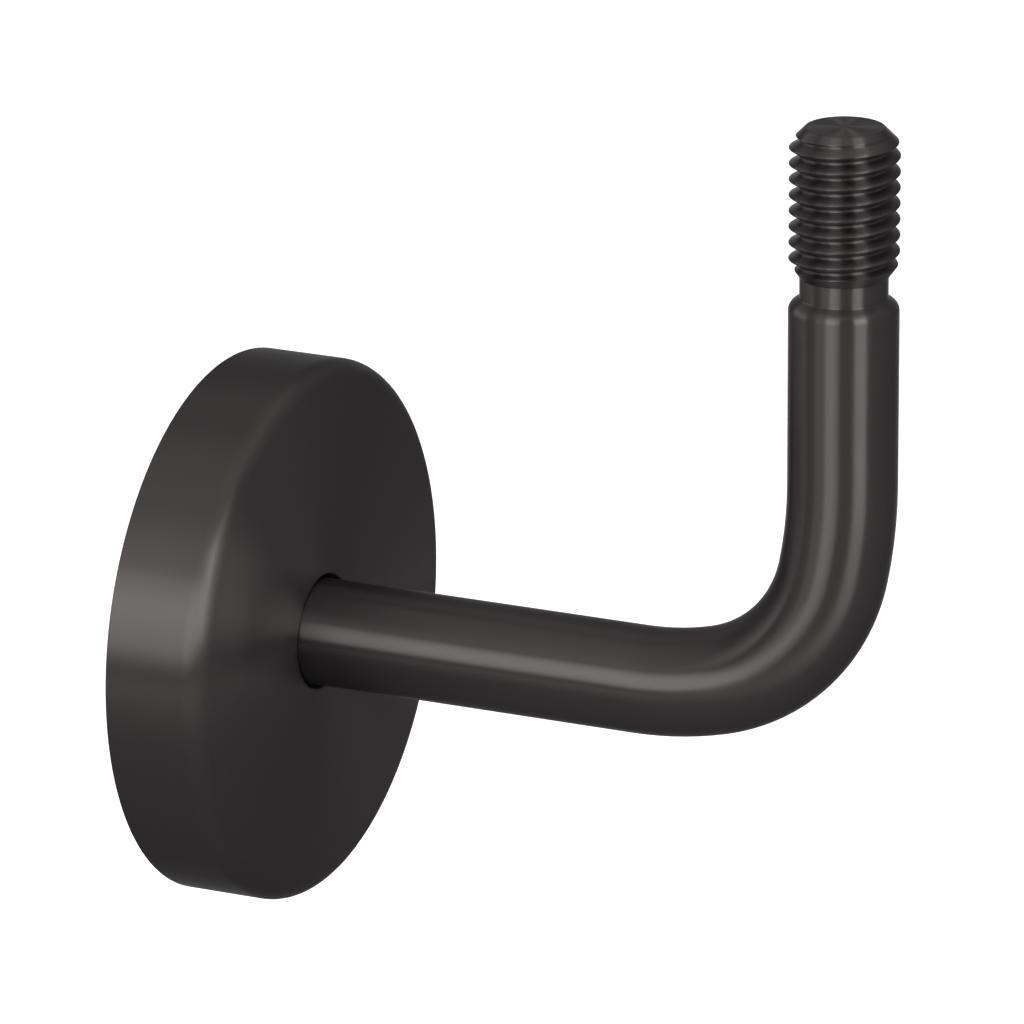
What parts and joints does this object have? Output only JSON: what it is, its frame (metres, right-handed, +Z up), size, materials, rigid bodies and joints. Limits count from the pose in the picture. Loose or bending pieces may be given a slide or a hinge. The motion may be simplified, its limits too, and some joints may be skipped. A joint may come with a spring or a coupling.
{
  "type": "handrail bracket",
  "caption": "Wall bracket for a handrail: a round bar bent upwards to a threaded stud, on a screwed plate with a round pressed cover that slides along the bar.",
  "frame": {"origin": "centre of the plate's wall face", "axes": "+X out of the wall along the level bar, +Z up along the threaded stud, +Y completes the right-handed frame"},
  "size_m": [0.0802, 0.061, 0.0961],
  "materials": {
    "dark_brushed_steel": "dark anthracite coating over finely brushed and turned steel",
    "plain_steel": "plain rolled and turned steel, uncoated",
    "zinc_plated_steel": "bright zinc plated"
  },
  "bodies": {
    "bracket": {"mounting_plate": "plain_steel", "arm": "dark_brushed_steel", "arm_screw": "zinc_plated_steel"},
    "cover": {"cover_rosette": "dark_brushed_steel"}
  },
  "joints": [
    {"name": "cover_slide", "type": "slide", "parent": "bracket", "child": "cover", "axis": [1, 0, 0], "range_m": [0, 0.038]}
  ]
}
